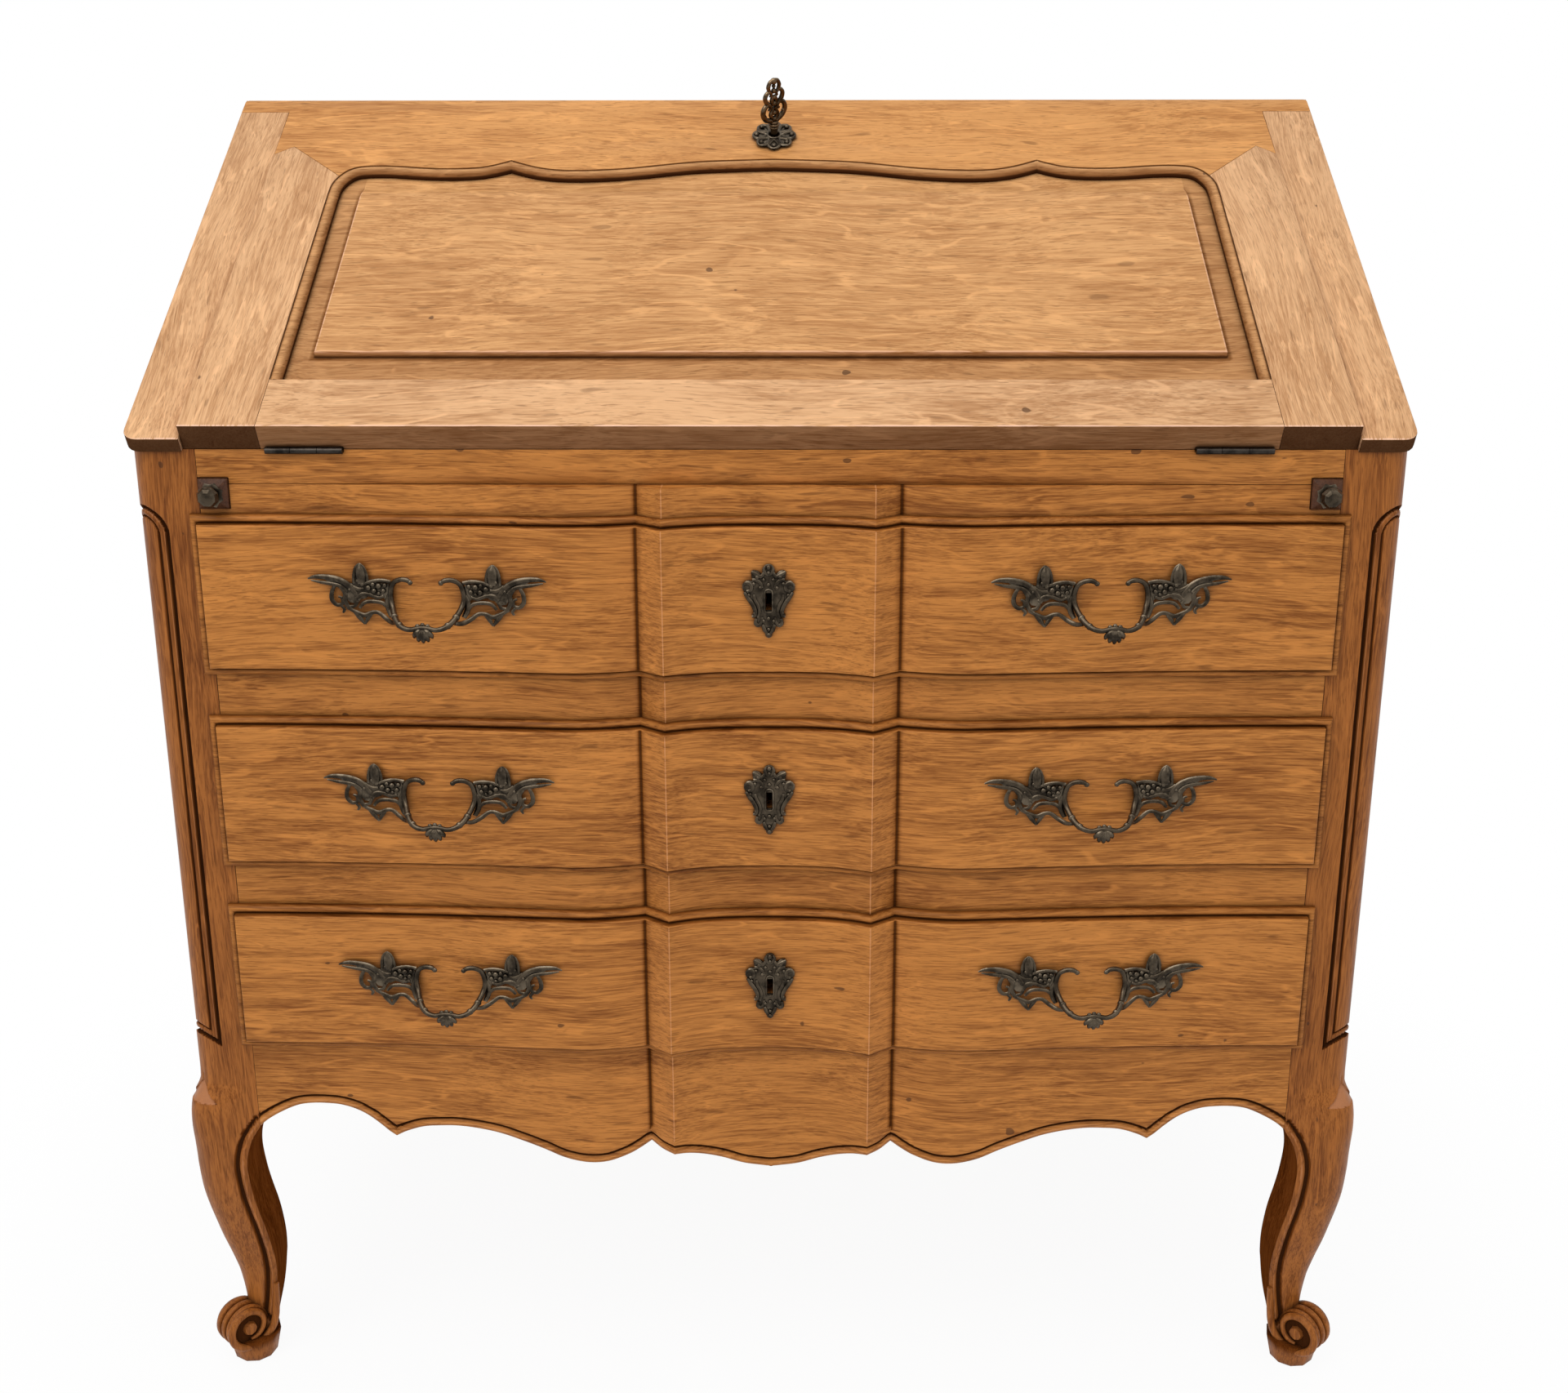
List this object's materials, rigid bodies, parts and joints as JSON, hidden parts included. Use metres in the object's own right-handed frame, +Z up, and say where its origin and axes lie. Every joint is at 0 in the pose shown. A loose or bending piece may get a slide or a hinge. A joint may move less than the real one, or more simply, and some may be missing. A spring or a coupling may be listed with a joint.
{
  "type": "slant-front desk",
  "caption": "Walnut slant-front desk on cabriole legs with a serpentine front, lipped long drawers, cast pulls, pull-out lid supports and a fall lid with a turned key.",
  "frame": {"origin": "on the floor, at the centre of the closed desk's footprint", "axes": "+X to the right seen from the front, +Y to the back, +Z up"},
  "size_m": [0.934, 0.5418, 1.0259],
  "materials": {
    "walnut": "satin wax polish over a mid brown stain, horizontal grain on the fronts",
    "lid_walnut": "satin wax polish, paler and more worn than the carcass",
    "dark_walnut": "dark stained",
    "inner_oak": "bare and dry",
    "bronze": "dark antique patina with worn bright edges",
    "steel": "darkened with age"
  },
  "bodies": {
    "carcass": {"left_front_post": "walnut", "right_front_post": "walnut", "left_rear_post": "walnut", "right_rear_post": "walnut", "left_side_frame": "walnut", "right_side_frame": "walnut", "left_side_panel": "walnut", "right_side_panel": "walnut", "back_panel": "inner_oak", "top_board": "walnut", "writing_bed": "walnut", "frieze_rail": "walnut", "upper_divider_rail": "walnut", "lower_divider_rail": "walnut", "front_apron": "walnut", "left_runner_frame": "inner_oak", "right_runner_frame": "inner_oak", "left_hinge_fixed_leaf": "steel", "right_hinge_fixed_leaf": "steel", "gallery": "walnut"},
    "lid": {"lid_left_outer_stile": "lid_walnut", "lid_right_outer_stile": "lid_walnut", "lid_left_inner_stile": "lid_walnut", "lid_right_inner_stile": "lid_walnut", "lid_top_rail": "lid_walnut", "lid_bottom_rail": "lid_walnut", "lid_panel": "lid_walnut", "lid_lock": "steel", "lid_rosette": "bronze", "left_hinge_lid_leaf": "steel", "right_hinge_lid_leaf": "steel"},
    "lid_lock_bolt": {"lid_bolt": "steel"},
    "lid_key": {"key": "bronze"},
    "left_support": {"left_loper": "dark_walnut", "left_loper_knob": "bronze"},
    "right_support": {"right_loper": "dark_walnut", "right_loper_knob": "bronze"},
    "drawer_1": {"drawer_1_front": "walnut", "drawer_1_tray": "inner_oak", "drawer_1_lock": "steel", "drawer_1_escutcheon": "bronze", "drawer_1_left_pull": "bronze", "drawer_1_right_pull": "bronze"},
    "drawer_1_lock_bolt": {"drawer_1_bolt": "steel"},
    "drawer_2": {"drawer_2_front": "walnut", "drawer_2_tray": "inner_oak", "drawer_2_lock": "steel", "drawer_2_escutcheon": "bronze", "drawer_2_left_pull": "bronze", "drawer_2_right_pull": "bronze"},
    "drawer_2_lock_bolt": {"drawer_2_bolt": "steel"},
    "drawer_3": {"drawer_3_front": "walnut", "drawer_3_tray": "inner_oak", "drawer_3_lock": "steel", "drawer_3_escutcheon": "bronze", "drawer_3_left_pull": "bronze", "drawer_3_right_pull": "bronze"},
    "drawer_3_lock_bolt": {"drawer_3_bolt": "steel"},
    "small_left": {"small_drawer_left": "walnut"},
    "small_right": {"small_drawer_right": "walnut"}
  },
  "joints": [
    {"name": "lid_hinge", "type": "hinge", "parent": "carcass", "child": "lid", "pos_m": [0, -0.2318, 0.7693], "axis": [1, 0, 0], "range_deg": [0, 150.4]},
    {"name": "key_turn", "type": "hinge", "parent": "lid", "child": "lid_key", "pos_m": [0, 0.10243, 0.95917], "axis": [0, -0.4939, 0.8695], "range_deg": [0, 90]},
    {"name": "lid_bolt_slide", "type": "slide", "parent": "lid", "child": "lid_lock_bolt", "axis": [0, 0.8695, 0.4939], "range_m": [0, 0.008]},
    {"name": "left_loper_slide", "type": "slide", "parent": "carcass", "child": "left_support", "axis": [0, -1, 0], "range_m": [0, 0.28]},
    {"name": "right_loper_slide", "type": "slide", "parent": "carcass", "child": "right_support", "axis": [0, -1, 0], "range_m": [0, 0.28]},
    {"name": "drawer_1_slide", "type": "slide", "parent": "carcass", "child": "drawer_1", "axis": [0, -1, 0], "range_m": [0, 0.32]},
    {"name": "drawer_2_slide", "type": "slide", "parent": "carcass", "child": "drawer_2", "axis": [0, -1, 0], "range_m": [0, 0.32]},
    {"name": "drawer_3_slide", "type": "slide", "parent": "carcass", "child": "drawer_3", "axis": [0, -1, 0], "range_m": [0, 0.32]},
    {"name": "drawer_1_bolt_slide", "type": "slide", "parent": "drawer_1", "child": "drawer_1_lock_bolt", "axis": [0, 0, 1], "range_m": [0, 0.008]},
    {"name": "drawer_2_bolt_slide", "type": "slide", "parent": "drawer_2", "child": "drawer_2_lock_bolt", "axis": [0, 0, 1], "range_m": [0, 0.008]},
    {"name": "drawer_3_bolt_slide", "type": "slide", "parent": "drawer_3", "child": "drawer_3_lock_bolt", "axis": [0, 0, 1], "range_m": [0, 0.008]},
    {"name": "small_left_slide", "type": "slide", "parent": "carcass", "child": "small_left", "axis": [0, -1, 0], "range_m": [0, 0.13]},
    {"name": "small_right_slide", "type": "slide", "parent": "carcass", "child": "small_right", "axis": [0, -1, 0], "range_m": [0, 0.13]}
  ],
  "couplings": [
    {"joint": "lid_bolt_slide", "follows": "key_turn", "m_per_rad": 0.00509}
  ]
}
